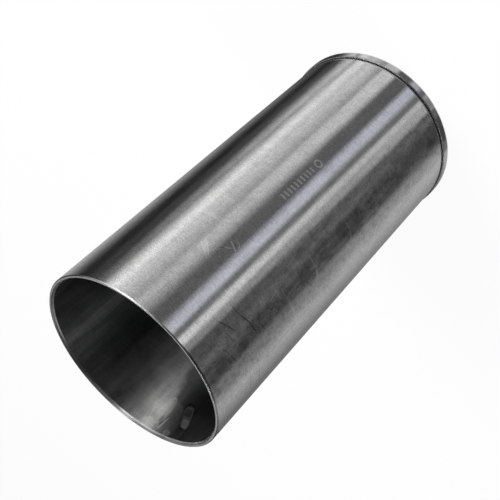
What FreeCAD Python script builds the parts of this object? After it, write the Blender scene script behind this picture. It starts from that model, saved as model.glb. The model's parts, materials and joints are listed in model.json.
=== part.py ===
"""Dry cylinder liner: one turned iron sleeve with a thin flange at its head end.

It stands on the flange's top face, as it would on a bench. The origin is the centre of that
face, and +Z runs along the bore to the plain tail end. All lengths are in millimetres.
"""
import FreeCAD, Part

import math
import os

from Sketcher import Constraint

# Driving sizes: name, value and what it measures
SIZES = [
    ("bore_diameter", 100.0, "running bore for the piston"),
    ("wall_thickness", 2.0, "barrel wall, from bore to barrel"),
    ("overall_length", 221.0, "flange top to tail end"),
    ("flange_overhang", 1.0, "how far the flange stands out of the barrel"),
    ("flange_height", 5.5, "flange top to flange seat"),
    ("flange_rim_chamfer", 0.6, "outer edge of the flange top"),
    ("flange_seat_chamfer", 0.3, "outer edge of the flange seat"),
    ("relief_depth", 0.3, "undercut below the barrel surface, at the seat"),
    ("relief_floor", 0.8, "width of the undercut before its run-out"),
    ("relief_runout_angle", 15.0, "slope of the undercut's run-out, in degrees"),
    ("relief_corner_radius", 0.35, "fillet from the undercut to the seat, out past the barrel"),
    ("tail_chamfer", 0.5, "outer edge of the tail end"),
    ("lead_in_depth", 1.5, "taper at the tail end of the bore, along the axis"),
    ("lead_in_width", 0.7, "the same taper, across the wall"),
    ("head_bore_chamfer", 0.5, "edge of the bore at the flange top"),
]


def make_sheet(doc):
    """Put every driving size in the sheet, with its note and its alias."""
    sheet = doc.addObject("Spreadsheet::Sheet", "Sizes")
    for row, (name, value, note) in enumerate(SIZES, start=1):
        sheet.set(f"A{row}", note)
        sheet.set(f"B{row}", str(value))
        sheet.setAlias(f"B{row}", name)
    doc.recompute()
    return sheet


def origin_plane(body, role):
    """Return the body's own origin plane of that role."""
    return next(f for f in body.Origin.OriginFeatures if f.Role == role)


def section_sketch(body, name, points):
    """Draw a closed outline of straight lines on the body's XZ plane.

    The sketch's X is the radius and its Y is the height. Lines that are drawn level or upright
    are held so, and the caller adds the sizes.
    """
    sketch = body.newObject("Sketcher::SketchObject", name)
    sketch.AttachmentSupport = (origin_plane(body, "XZ_Plane"), [""])
    sketch.MapMode = "FlatFace"
    corners = [FreeCAD.Vector(radius, height, 0) for radius, height in points]
    count = len(corners)
    for i, corner in enumerate(corners):
        sketch.addGeometry(Part.LineSegment(corner, corners[(i + 1) % count]), False)
    for i, corner in enumerate(corners):
        following = (i + 1) % count
        sketch.addConstraint(Constraint("Coincident", i, 2, following, 1))
        if math.isclose(corner.y, corners[following].y):
            sketch.addConstraint(Constraint("Horizontal", i))
        if math.isclose(corner.x, corners[following].x):
            sketch.addConstraint(Constraint("Vertical", i))
    return sketch


def drive(sketch, name, constraint, expression):
    """Add a named size to a sketch and bind it to the sheet."""
    index = sketch.addConstraint(constraint)
    sketch.renameConstraint(index, name)
    sketch.setExpression(f"Constraints.{name}", expression)


def turn(body, kind, name, sketch):
    """Carry a section once round the liner's axis, as a Revolution or a Groove."""
    feature = body.newObject(kind, name)
    feature.Profile = sketch
    feature.ReferenceAxis = (sketch, ["V_Axis"])
    feature.Angle = 360.0
    body.Document.recompute()
    return feature


def ring_edge(shape, radius, height):
    """Name the circular edge of that radius at that height."""
    for number, edge in enumerate(shape.Edges, start=1):
        curve = edge.Curve
        if not isinstance(curve, Part.Circle):
            continue
        same_radius = math.isclose(curve.Radius, radius, abs_tol=1e-6)
        if same_radius and math.isclose(curve.Center.z, height, abs_tol=1e-6):
            return f"Edge{number}"
    raise RuntimeError(f"no ring edge at radius {radius}, height {height}")


def dress_edge(body, kind, name, radius, height, size_name):
    """Break or round one ring edge by the size of that name."""
    base = body.Tip
    feature = body.newObject(kind, name)
    feature.Base = (base, [ring_edge(base.Shape, radius, height)])
    target = "Radius" if kind == "PartDesign::Fillet" else "Size"
    feature.setExpression(target, f"Sizes.{size_name}")
    body.Document.recompute()
    return feature


def require_cut(before, after, name):
    """Stop if a cut took nothing away."""
    if after >= before:
        raise RuntimeError(f"{name} removed no metal")


def make_liner(doc, sheet):
    """Turn the sleeve, undercut its flange seat, taper its bore and break its edges."""
    body = doc.addObject("PartDesign::Body", "Liner")
    body.Label = "liner"

    bore_radius = sheet.get("bore_diameter") / 2
    barrel_radius = bore_radius + sheet.get("wall_thickness")
    flange_radius = barrel_radius + sheet.get("flange_overhang")
    seat_height = sheet.get("flange_height")
    length = sheet.get("overall_length")

    # Sleeve and flange, turned as one section
    wall = section_sketch(body, "WallSection", [
        (bore_radius, 0),
        (flange_radius, 0),
        (flange_radius, seat_height),
        (barrel_radius, seat_height),
        (barrel_radius, length),
        (bore_radius, length),
    ])
    wall.addConstraint(Constraint("PointOnObject", 0, 1, -1))
    drive(wall, "BoreRadius", Constraint("DistanceX", -1, 1, 0, 1, bore_radius),
          "Sizes.bore_diameter / 2")
    drive(wall, "Wall", Constraint("DistanceX", 4, 2, 4, 1, sheet.get("wall_thickness")),
          "Sizes.wall_thickness")
    drive(wall, "Overhang", Constraint("DistanceX", 2, 2, 2, 1, sheet.get("flange_overhang")),
          "Sizes.flange_overhang")
    drive(wall, "SeatHeight", Constraint("DistanceY", 1, 1, 1, 2, seat_height),
          "Sizes.flange_height")
    drive(wall, "Length", Constraint("DistanceY", -1, 1, 4, 1, length),
          "Sizes.overall_length")
    sleeve = turn(body, "PartDesign::Revolution", "Sleeve", wall)

    # Undercut where the barrel meets the flange seat, with a sloped run-out
    depth = sheet.get("relief_depth")
    floor = sheet.get("relief_floor")
    runout = depth / math.tan(math.radians(sheet.get("relief_runout_angle")))
    relief = section_sketch(body, "ReliefSection", [
        (barrel_radius, seat_height),
        (barrel_radius - depth, seat_height),
        (barrel_radius - depth, seat_height + floor),
        (barrel_radius, seat_height + floor + runout),
    ])
    drive(relief, "BarrelRadius", Constraint("DistanceX", -1, 1, 0, 1, barrel_radius),
          "Sizes.bore_diameter / 2 + Sizes.wall_thickness")
    drive(relief, "SeatHeight", Constraint("DistanceY", -1, 1, 0, 1, seat_height),
          "Sizes.flange_height")
    drive(relief, "Depth", Constraint("DistanceX", 0, 2, 0, 1, depth), "Sizes.relief_depth")
    drive(relief, "Floor", Constraint("DistanceY", 1, 1, 1, 2, floor), "Sizes.relief_floor")
    drive(relief, "Runout", Constraint("DistanceY", 2, 1, 2, 2, runout),
          "Sizes.relief_depth / tan(Sizes.relief_runout_angle * 1 deg)")
    undercut = turn(body, "PartDesign::Groove", "Relief", relief)
    require_cut(sleeve.Shape.Volume, undercut.Shape.Volume, "the undercut")

    # Long taper that leads into the bore at the tail end
    taper_depth = sheet.get("lead_in_depth")
    taper_width = sheet.get("lead_in_width")
    lead_in = section_sketch(body, "LeadInSection", [
        (bore_radius, length - taper_depth),
        (bore_radius + taper_width, length),
        (bore_radius, length),
    ])
    drive(lead_in, "BoreRadius", Constraint("DistanceX", -1, 1, 0, 1, bore_radius),
          "Sizes.bore_diameter / 2")
    drive(lead_in, "TailHeight", Constraint("DistanceY", -1, 1, 1, 1, length),
          "Sizes.overall_length")
    drive(lead_in, "Width", Constraint("DistanceX", 1, 2, 1, 1, taper_width),
          "Sizes.lead_in_width")
    drive(lead_in, "Depth", Constraint("DistanceY", 2, 2, 2, 1, taper_depth),
          "Sizes.lead_in_depth")
    tapered = turn(body, "PartDesign::Groove", "LeadIn", lead_in)
    require_cut(undercut.Shape.Volume, tapered.Shape.Volume, "the lead-in taper")

    # Broken and rounded edges
    dress_edge(body, "PartDesign::Chamfer", "TailEdge",
               barrel_radius, length, "tail_chamfer")
    dress_edge(body, "PartDesign::Chamfer", "FlangeRim",
               flange_radius, 0, "flange_rim_chamfer")
    dress_edge(body, "PartDesign::Chamfer", "FlangeSeatEdge",
               flange_radius, seat_height, "flange_seat_chamfer")
    dress_edge(body, "PartDesign::Chamfer", "HeadBoreEdge",
               bore_radius, 0, "head_bore_chamfer")
    finished = dress_edge(body, "PartDesign::Fillet", "ReliefCorner",
                          barrel_radius - depth, seat_height, "relief_corner_radius")
    body.Tip = finished
    doc.recompute()
    return body


def check(doc, bodies):
    """Stop on any failed object, and on a shape that is missing or unsound."""
    for item in doc.Objects:
        if {"Invalid", "Error"} & set(item.State):
            raise RuntimeError(f"{item.Name} failed: {item.State}")
    for body in bodies:
        shape = body.Shape
        if shape.isNull() or not shape.isValid():
            raise RuntimeError(f"{body.Label} has no sound shape")
        if len(shape.Solids) != 1:
            raise RuntimeError(f"{body.Label} has {len(shape.Solids)} solids")


def main():
    """Build the liner, check it and write its file."""
    doc = FreeCAD.newDocument("CylinderLiner")
    sheet = make_sheet(doc)
    bodies = [make_liner(doc, sheet)]
    check(doc, bodies)

    os.makedirs("parts", exist_ok=True)
    for body in bodies:
        body.Shape.exportStep(f"parts/{body.Label}.step")
        box = body.Shape.optimalBoundingBox()
        print(f"{body.Label}: {box.XLength:.2f} x {box.YLength:.2f} x {box.ZLength:.2f} mm,"
              f" {body.Shape.Volume / 1000:.2f} cm3")


main()
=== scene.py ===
"""Looks of the cylinder liner: its ground barrel, turned edges and dark honed bore.

One piece stands for the liner. Its wall section is carried once round the bore's axis, with every
edge a little rounded, and each stretch of the section wears its own finish. The rest is the set: a
pale floor, a card that only the polished skin mirrors, soft lamps, a pale world and the camera.
Lengths are in metres and angles in degrees, unless the text beside them says otherwise.
"""
import json
import logging
import math
from dataclasses import dataclass
from enum import Enum
from typing import Union

import bpy
import numpy as np
from mathutils import Matrix, Vector


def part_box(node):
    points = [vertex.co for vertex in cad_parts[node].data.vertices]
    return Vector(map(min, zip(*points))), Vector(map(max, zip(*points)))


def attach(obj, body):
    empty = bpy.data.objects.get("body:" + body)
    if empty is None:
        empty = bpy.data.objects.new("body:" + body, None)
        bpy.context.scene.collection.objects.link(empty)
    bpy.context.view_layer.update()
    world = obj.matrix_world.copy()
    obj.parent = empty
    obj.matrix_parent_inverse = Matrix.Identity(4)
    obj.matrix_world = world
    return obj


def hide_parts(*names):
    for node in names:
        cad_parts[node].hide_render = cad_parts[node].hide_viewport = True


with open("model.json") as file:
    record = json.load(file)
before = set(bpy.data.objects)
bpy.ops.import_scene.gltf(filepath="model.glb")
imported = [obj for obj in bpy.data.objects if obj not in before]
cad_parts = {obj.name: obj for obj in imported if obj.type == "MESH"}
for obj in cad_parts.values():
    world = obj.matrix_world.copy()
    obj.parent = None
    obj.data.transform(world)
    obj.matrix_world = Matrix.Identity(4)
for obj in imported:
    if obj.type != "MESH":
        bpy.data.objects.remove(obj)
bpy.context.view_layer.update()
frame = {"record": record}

LOG = logging.getLogger("liner")
Socket = bpy.types.NodeSocket
Feed = Union[bpy.types.NodeSocket, float, tuple]
Colour = tuple[float, float, float]

MOUNTS = {mount["name"]: mount for mount in frame["record"]["mounts"]}
# Both radii are in millimetres, and the skin is the barrel's radius in metres
BORE_RADIUS = MOUNTS["bore"]["dims"]["r_mm"]
BARREL_RADIUS = MOUNTS["barrel"]["dims"]["r_mm"]
BARREL_SKIN = BARREL_RADIUS / 1000.0


def even(level: float) -> Colour:
    """Give a tone without a tint."""
    return (level, level, level)


IRON = even(0.62)
DULL_IRON = even(0.30)


def grey(screen_level: float, tint: Colour) -> Colour:
    """Turn a screen level from 0 to 255 into a linear colour, by the curve of sRGB.

    Args:
        screen_level: The level as a screen shows it.
        tint: What each channel is multiplied by.

    Returns:
        The linear red, green and blue.
    """
    share = screen_level / 255.0
    linear = share / 12.92 if share <= 0.04045 else ((share + 0.055) / 1.055) ** 2.4
    return (linear * tint[0], linear * tint[1], linear * tint[2])


class Zone(Enum):
    """Stretches of the wall section, by the finish that each wears."""

    HEAD_FACE = 0
    FLANGE_RIM = 1
    UNDERCUT = 2
    BARREL = 3
    TAIL_CHAMFER = 4
    TAIL_FACE = 5
    LEAD_IN = 6
    BORE = 7
    SEAT_FACE = 8
    MOUTH_LIP = 9
    RUN_OUT = 10


class Wiring:
    """Adds nodes to one tree and joins their sockets."""

    def __init__(self, tree: bpy.types.NodeTree) -> None:
        """Take the tree to work on."""
        self.tree = tree

    def node(self, kind: str, **settings: object) -> bpy.types.Node:
        """Add a node and set its own properties.

        Args:
            kind: The node's type name.
            settings: The node's properties, by name.

        Returns:
            The new node.
        """
        made = self.tree.nodes.new(kind)
        for name, value in settings.items():
            setattr(made, name, value)
        return made

    def feed(self, socket: Socket, value: Feed) -> None:
        """Join a socket to another one, or set the value that it holds.

        Args:
            socket: The input to feed.
            value: The socket or value that it gets.
        """
        if isinstance(value, bpy.types.NodeSocket):
            self.tree.links.new(value, socket)
        else:
            socket.default_value = value

    def math(self, operation: str, *values: Feed, clamp: bool = False) -> Socket:
        """Work out one number from up to three others.

        Args:
            operation: The sum's name, as the node has it.
            values: The numbers, in order.
            clamp: Whether the result is held from 0 to 1.

        Returns:
            The result.
        """
        made = self.node("ShaderNodeMath", operation=operation, use_clamp=clamp)
        for socket, value in zip(made.inputs, values):
            self.feed(socket, value)
        return made.outputs[0]

    def vector(self, operation: str, *values: Feed) -> Socket:
        """Work out a vector, or the one number that a dot product or a length gives.

        Args:
            operation: The sum's name, as the node has it.
            values: The vectors, in order.

        Returns:
            The result.
        """
        made = self.node("ShaderNodeVectorMath", operation=operation)
        for socket, value in zip(made.inputs, values):
            self.feed(socket, value)
        single = operation in ("DOT_PRODUCT", "LENGTH", "DISTANCE")
        return made.outputs["Value"] if single else made.outputs["Vector"]

    def point(self, x: Feed, y: Feed, z: Feed = 0.0) -> Socket:
        """Join three numbers into a vector.

        Args:
            x: The first.
            y: The second.
            z: The third.

        Returns:
            The vector.
        """
        made = self.node("ShaderNodeCombineXYZ")
        for socket, value in zip(made.inputs, (x, y, z)):
            self.feed(socket, value)
        return made.outputs[0]

    def ramp(self, value: Feed, start: Feed, end: Feed,
             low: Feed = 0.0, high: Feed = 1.0) -> Socket:
        """Ease a number from low to high as it goes from start to end.

        Args:
            value: The number.
            start: Where the easing starts.
            end: Where it ends.
            low: The result up to the start.
            high: The result from the end on.

        Returns:
            The eased number.
        """
        made = self.node("ShaderNodeMapRange", interpolation_type="SMOOTHSTEP")
        for socket, given in zip(made.inputs, (value, start, end, low, high)):
            self.feed(socket, given)
        return made.outputs[0]

    def noise(self, position: Socket, scale: Feed, detail: float = 2.0,
              roughness: float = 0.5) -> Socket:
        """Give a cloudy number from 0 to 1 at a position.

        Args:
            position: The point.
            scale: How many clouds there are to each unit of the position.
            detail: How many finer layers they have.
            roughness: How strong those layers are.

        Returns:
            The number.
        """
        made = self.node("ShaderNodeTexNoise")
        self.feed(made.inputs["Vector"], position)
        self.feed(made.inputs["Scale"], scale)
        self.feed(made.inputs["Detail"], detail)
        self.feed(made.inputs["Roughness"], roughness)
        return made.outputs[0]

    def mix(self, share: Feed, first: Feed, second: Feed) -> Socket:
        """Mix two numbers by a share.

        Args:
            share: How much of the second there is, from 0 to 1.
            first: The first number.
            second: The second number.

        Returns:
            The mixed number.
        """
        made = self.node("ShaderNodeMix", data_type="FLOAT")
        for index, value in zip((0, 2, 3), (share, first, second)):
            self.feed(made.inputs[index], value)
        return made.outputs[0]

    def tint(self, share: Feed, first: Feed, second: Feed, how: str = "MIX") -> Socket:
        """Mix two colours by a share, in the named way.

        Args:
            share: How much of the second there is, from 0 to 1.
            first: The first colour.
            second: The second colour.
            how: The way, by the node's name for it.

        Returns:
            The mixed colour.
        """
        made = self.node("ShaderNodeMix", data_type="RGBA", blend_type=how)
        for index, value in zip((0, 6, 7), (share, first, second)):
            if isinstance(value, tuple) and len(value) == 3:
                value = (*value, 1.0)
            self.feed(made.inputs[index], value)
        return made.outputs[2]

    def product(self, *values: Feed) -> Socket:
        """Multiply numbers together.

        Args:
            values: The numbers.

        Returns:
            Their product.
        """
        result = values[0]
        for value in values[1:]:
            result = self.math("MULTIPLY", result, value)
        return result

    def total(self, start: Feed, *parts: tuple[Feed, Feed]) -> Socket:
        """Add numbers to a first one, each times its own weight.

        Args:
            start: The first number.
            parts: The others, each with its weight.

        Returns:
            The sum.
        """
        for value, weight in parts:
            start = self.math("ADD", start, self.math("MULTIPLY", value, weight))
        return start

    def eased(self, start: Feed, *steps: tuple[Feed, Feed]) -> Socket:
        """Move a number to others in turn, each by its own share.

        Args:
            start: The first number.
            steps: Each share with the number that it moves to.

        Returns:
            The last number.
        """
        for share, goal in steps:
            start = self.mix(share, start, goal)
        return start

    def layered(self, base: Feed, *layers: tuple[Feed, Feed]) -> Socket:
        """Lay colours over a first one in turn, each by its own share.

        Args:
            base: The first colour.
            layers: Each share with its colour.

        Returns:
            The last colour.
        """
        for share, colour in layers:
            base = self.tint(share, base, colour)
        return base

    def use(self, group: bpy.types.NodeTree, **given: Feed) -> bpy.types.NodeOutputs:
        """Place a shared effect and set or join its inputs.

        Args:
            group: The effect's node group.
            given: The inputs, by name with underscores for spaces.

        Returns:
            The group node's outputs.
        """
        made = self.node("ShaderNodeGroup", node_tree=group)
        for name, value in given.items():
            self.feed(made.inputs[name.replace("_", " ")], value)
        return made.outputs


@dataclass(frozen=True)
class Mark:
    """One stroke of wear, painted shade or painted sheen on a round wall of the liner.

    Attributes:
        start: Degrees round from the front and height above the head face, in millimetres.
        end: The same for its other end.
        bow: How far its middle stands aside, in millimetres.
        half_width: Half its width, in millimetres.
        strength: How much of its tone shows, from 0 to 1.
    """

    start: tuple[float, float]
    end: tuple[float, float]
    bow: float
    half_width: float
    strength: float


@dataclass(frozen=True)
class Dab:
    """One soft oval of oil, dirt, painted shade or a painted highlight on a round wall of the
    liner.

    Attributes:
        centre: Degrees round from the front and height above the head face, in millimetres.
        half_round: Half its size round the wall, in millimetres.
        half_along: Half its size along the bore, in millimetres.
        strength: How much of its tone shows, from 0 to 1.
        lean: How far it goes round for each millimetre along, in millimetres.
        square: How square its corners are: 2 is an ellipse, and more is squarer.
    """

    centre: tuple[float, float]
    half_round: float
    half_along: float
    strength: float
    lean: float = 0.0
    square: float = 2.0


# Wear, stains, painted shade, painted reflections and painted highlights, placed by angle and
# height from what the photo shows
# Pale scratches: bared iron, with a painted sheen in their colour
PALE_MARKS = (
    Mark((-19.9, 175.9), (-13.1, 180.1), 0.0, 0.80, 0.56),
    Mark((-20.0, 172.8), (-11.9, 179.5), 0.2, 0.85, 0.50),
    Mark((-18.9, 174.6), (-12.8, 179.0), 0.0, 1.20, 0.44),
    Mark((-9.3, 165.9), (-3.3, 168.6), 0.1, 0.60, 0.90),
    Mark((-7.4, 163.9), (-4.7, 164.2), 0.3, 0.45, 0.60),
    Mark((-4.7, 164.2), (-3.9, 166.4), 0.2, 0.45, 0.60),
    Mark((-8.9, 170.8), (-5.9, 168.9), 0.3, 0.50, 0.80),
    Mark((-14.8, 168.1), (-13.2, 166.4), 0.4, 0.40, 0.45),
    Mark((-12.4, 175.9), (-11.6, 175.5), 0.0, 0.60, 0.60),
    Mark((-7.2, 176.4), (-6.8, 176.0), 0.0, 0.50, 0.95),
    Mark((-59.0, 157.5), (-63.0, 151.0), 0.6, 0.50, 0.66),
    Mark((25.4, 136.6), (34.0, 135.6), 0.2, 0.45, 0.75),
    Mark((34.0, 135.6), (41.0, 136.3), -0.1, 0.60, 0.62),
    Mark((28.0, 104.6), (33.5, 103.5), 0.2, 0.45, 0.50),
    Mark((33.5, 103.5), (40.5, 105.9), 0.5, 0.50, 0.44),
    Mark((15.2, 118.6), (16.2, 118.0), 0.0, 0.45, 0.90),
    Mark((47.5, 81.8), (54.0, 85.4), 0.5, 0.90, 0.30),
    Mark((54.0, 85.4), (61.5, 91.3), 0.4, 1.10, 0.28),
    Mark((28.0, 161.0), (57.0, 158.0), 0.6, 0.90, 0.26),
    Mark((25.2, 163.6), (27.6, 170.0), 0.3, 0.80, 0.50),
    Mark((25.2, 163.6), (32.0, 164.0), -0.3, 0.70, 0.50),
    Mark((22.4, 166.0), (24.4, 158.0), 0.4, 0.45, 0.34),
    Mark((-35.0, 161.0), (-20.0, 160.4), 0.4, 0.90, 0.30),
    Mark((-36.0, 158.2), (-21.0, 158.8), -0.4, 0.70, 0.24),
    Mark((-35.0, 146.4), (-21.0, 146.8), 0.3, 0.80, 0.24),
    Mark((6.4, 187.2), (8.6, 186.0), 0.2, 0.40, 0.95),
    Mark((8.6, 186.0), (11.6, 185.2), 0.1, 0.30, 0.60),
    Mark((26.0, 22.0), (28.4, 17.6), 0.2, 0.40, 0.60),
    Mark((22.5, 16.0), (25.2, 8.4), 0.3, 0.35, 0.50),
    Mark((21.4, 152.0), (19.2, 141.0), 0.0, 0.30, 0.40),
    Mark((18.6, 133.0), (17.6, 118.0), 0.2, 0.30, 0.36),
    Mark((30.0, 168.2), (38.0, 172.0), -0.8, 0.35, 0.34),
    Mark((24.5, 198.0), (30.0, 196.0), 0.4, 0.90, 0.26),
)
# Dark scratches, painted dark as shade; the last one is a painted dark reflection at the tail edge
DARK_MARKS = (
    Mark((11.4, 200.3), (15.0, 199.6), 0.1, 0.30, 0.42),
    Mark((15.0, 199.6), (19.6, 197.3), 0.2, 0.42, 0.74),
    Mark((19.6, 197.3), (24.5, 194.7), -0.2, 0.40, 0.66),
    Mark((13.2, 189.3), (20.9, 188.3), -0.1, 0.34, 0.74),
    Mark((20.9, 188.3), (28.8, 185.6), 0.2, 0.50, 0.95),
    Mark((28.8, 185.6), (33.8, 184.8), -0.2, 0.46, 0.94),
    Mark((21.6, 200.0), (28.6, 198.7), 0.4, 0.36, 0.55),
    Mark((26.5, 205.9), (32.3, 203.4), 0.3, 0.42, 0.53),
    Mark((32.3, 203.4), (38.6, 201.1), -0.2, 0.40, 0.53),
    Mark((30.5, 207.4), (37.6, 203.8), 0.3, 0.34, 0.31),
    Mark((28.4, 181.0), (32.6, 180.9), 0.3, 0.42, 0.60),
    Mark((32.6, 180.9), (37.2, 179.8), 0.2, 0.58, 0.74),
    Mark((37.6, 176.4), (31.5, 172.6), -0.7, 0.34, 0.36),
    Mark((31.5, 172.6), (29.4, 167.9), -0.6, 0.34, 0.36),
    Mark((35.4, 171.6), (33.4, 165.4), -1.0, 0.32, 0.34),
    Mark((-10.9, 172.9), (-8.7, 171.2), 0.3, 0.35, 0.41),
    Mark((-6.6, 165.6), (-5.2, 166.6), 0.0, 0.80, 0.36),
    Mark((-6.4, 176.0), (-5.6, 175.2), 0.0, 0.45, 0.42),
    Mark((53.0, 196.2), (66.0, 197.0), 0.5, 0.50, 0.24),
    Mark((56.0, 189.0), (70.0, 188.6), -0.4, 0.50, 0.29),
    Mark((52.0, 182.8), (55.4, 181.6), 0.1, 0.40, 0.38),
    # A painted dark reflection along the barrel just below the tail chamfer
    Mark((10.0, 220.3), (47.0, 220.3), 0.0, 0.34, 0.85),
)
TAIL_NICK = Mark((72.0, 219.7), (79.0, 217.9), 0.0, 0.95, 1.00)
OIL_DABS = (
    Dab((30.0, 108.7), 5.0, 5.6, 0.70),
    Dab((27.2, 126.4), 4.0, 6.0, 0.55),
    Dab((21.4, 140.3), 3.4, 5.0, 0.55),
    Dab((31.0, 94.0), 4.6, 5.2, 0.50),
    Dab((32.0, 81.5), 4.0, 3.4, 0.50),
    Dab((31.5, 62.0), 3.6, 6.0, 0.45),
    Dab((34.0, 194.7), 3.2, 4.6, 0.60),
    Dab((33.5, 210.5), 3.8, 4.0, 0.55),
    Dab((34.5, 16.0), 3.4, 6.4, 0.60),
    Dab((24.0, 47.0), 3.0, 7.5, 0.35),
)
# The flange rim, darkened partly by stains and partly by painted shade for its dark reflections
# and the seat chamfer's glint
FLANGE_STAINS_AND_SHADE = (
    Dab((-66.0, 3.0), 15.0, 9.0, 0.62),
    Dab((-36.0, 5.5), 16.0, 0.8, 0.60),
    Dab((2.0, 3.0), 4.0, 9.0, 0.12),
    Dab((13.0, 3.0), 5.0, 9.0, 0.40),
    Dab((44.0, 3.0), 4.0, 9.0, 0.50),
)
# The tail chamfer, darkened partly by stains and partly by painted shade for its dark reflections
EDGE_STAINS_AND_SHADE = (
    Dab((31.0, 221.0), 21.0, 4.0, 1.00),
    Dab((-60.0, 221.0), 7.0, 4.0, 0.60),
    Dab((122.0, 221.0), 32.0, 4.0, 0.85),
    Dab((-130.0, 221.0), 44.0, 4.0, 0.90),
)
# The tail face, darkened partly by stains and partly by painted shade that dims its glint
FACE_STAINS_AND_SHADE = (
    Dab((134.0, 221.0), 34.0, 4.0, 0.50),
    Dab((-136.0, 221.0), 38.0, 4.0, 0.76),
)
# The lead-in, darkened partly by stains and partly by painted shade that dims and moves its glint
MOUTH_STAINS_AND_SHADE = (
    Dab((142.0, 220.4), 20.0, 4.0, 0.78),
    Dab((-148.0, 220.4), 29.0, 4.0, 0.80),
    Dab((-178.0, 220.4), 16.0, 4.0, 0.45),
    Dab((182.0, 220.4), 16.0, 4.0, 0.45),
)
# The lip, darkened partly by stains and partly by painted shade that dims its glint
LIP_STAINS_AND_SHADE = (
    Dab((142.0, 219.8), 20.0, 4.0, 0.64),
    Dab((-158.0, 219.8), 26.0, 4.0, 0.84),
    Dab((-178.0, 219.8), 17.0, 4.0, 0.60),
    Dab((182.0, 219.8), 17.0, 4.0, 0.60),
)
BORE_DABS = (
    Dab((127.9, 204.9), 3.7, 8.2, 0.28, -0.46, 3.8),
    Dab((125.4, 209.2), 2.9, 3.8, 0.62, -0.44, 3.0),
    Dab((132.0, 217.8), 2.1, 1.8, 0.60),
    Dab((134.6, 208.6), 4.2, 11.4, 0.12, -0.44, 4.0),
    Dab((143.6, 206.6), 3.0, 9.0, 0.34, -0.06),
    Dab((146.4, 218.0), 4.6, 5.0, 0.50, -0.20),
    Dab((178.0, 184.0), 8.8, 44.0, 0.24),
    Dab((-182.0, 184.0), 8.8, 44.0, 0.24),
    Dab((-143.4, 192.0), 3.8, 30.0, 0.15),
)
# Painted shade: a broad oval on the side wall, darker deeper into the bore
BORE_PAINTED_DEEP_SHADE = Dab((104.0, 205.0), 35.0, 120.0, 1.00, -0.36)
# A band rubbed paler, which also carries a painted highlight
BORE_RUBBED_AND_HIGHLIGHT = Dab((149.0, 221.0), 22.0, 84.0, 1.00, -0.20)
# Painted shade on the far wall
BORE_PAINTED_FAR_SHADE = Dab((-118.0, 190.0), 20.0, 90.0, 0.50)
BORE_TIDE_LINES = (
    Dab((132.0, 217.8), 2.1, 1.8, 0.95),
    Dab((143.6, 206.6), 3.0, 9.0, 0.46, -0.06),
)
BORE_WET_SPOTS = (
    Dab((140.9, 212.9), 1.7, 3.8, 0.50, -0.36, 1.3),
    Dab((172.9, 214.0), 2.2, 2.6, 0.22, -0.60),
    Dab((130.0, 202.2), 2.6, 3.4, 0.42, -0.46, 3.0),
)
BORE_WIPES = (
    Mark((138.1, 209.4), (139.2, 217.8), 0.1, 0.30, 0.90),
    Mark((147.3, 218.8), (153.6, 202.6), 0.5, 0.34, 0.40),
    Mark((152.0, 206.0), (150.0, 193.0), 0.3, 0.40, 0.26),
    Mark((178.0, 216.4), (173.4, 212.4), 0.2, 0.35, 0.16),
)


@dataclass(frozen=True)
class Etching:
    """A plain ring and a row of equal bars, etched along the barrel.

    Attributes:
        angle: How far round from the front they lie, in degrees.
        row: The heights between which the bars stand, in millimetres.
        ring: The height of the ring's centre, in millimetres.
        half_height: Half a bar's length, which goes round the barrel, in millimetres.
        pitch: The bars' spacing, in millimetres.
    """

    angle: float = -6.9
    row: tuple[float, float] = (99.4, 127.2)
    ring: float = 95.0
    half_height: float = 1.8
    pitch: float = 2.8


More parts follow.
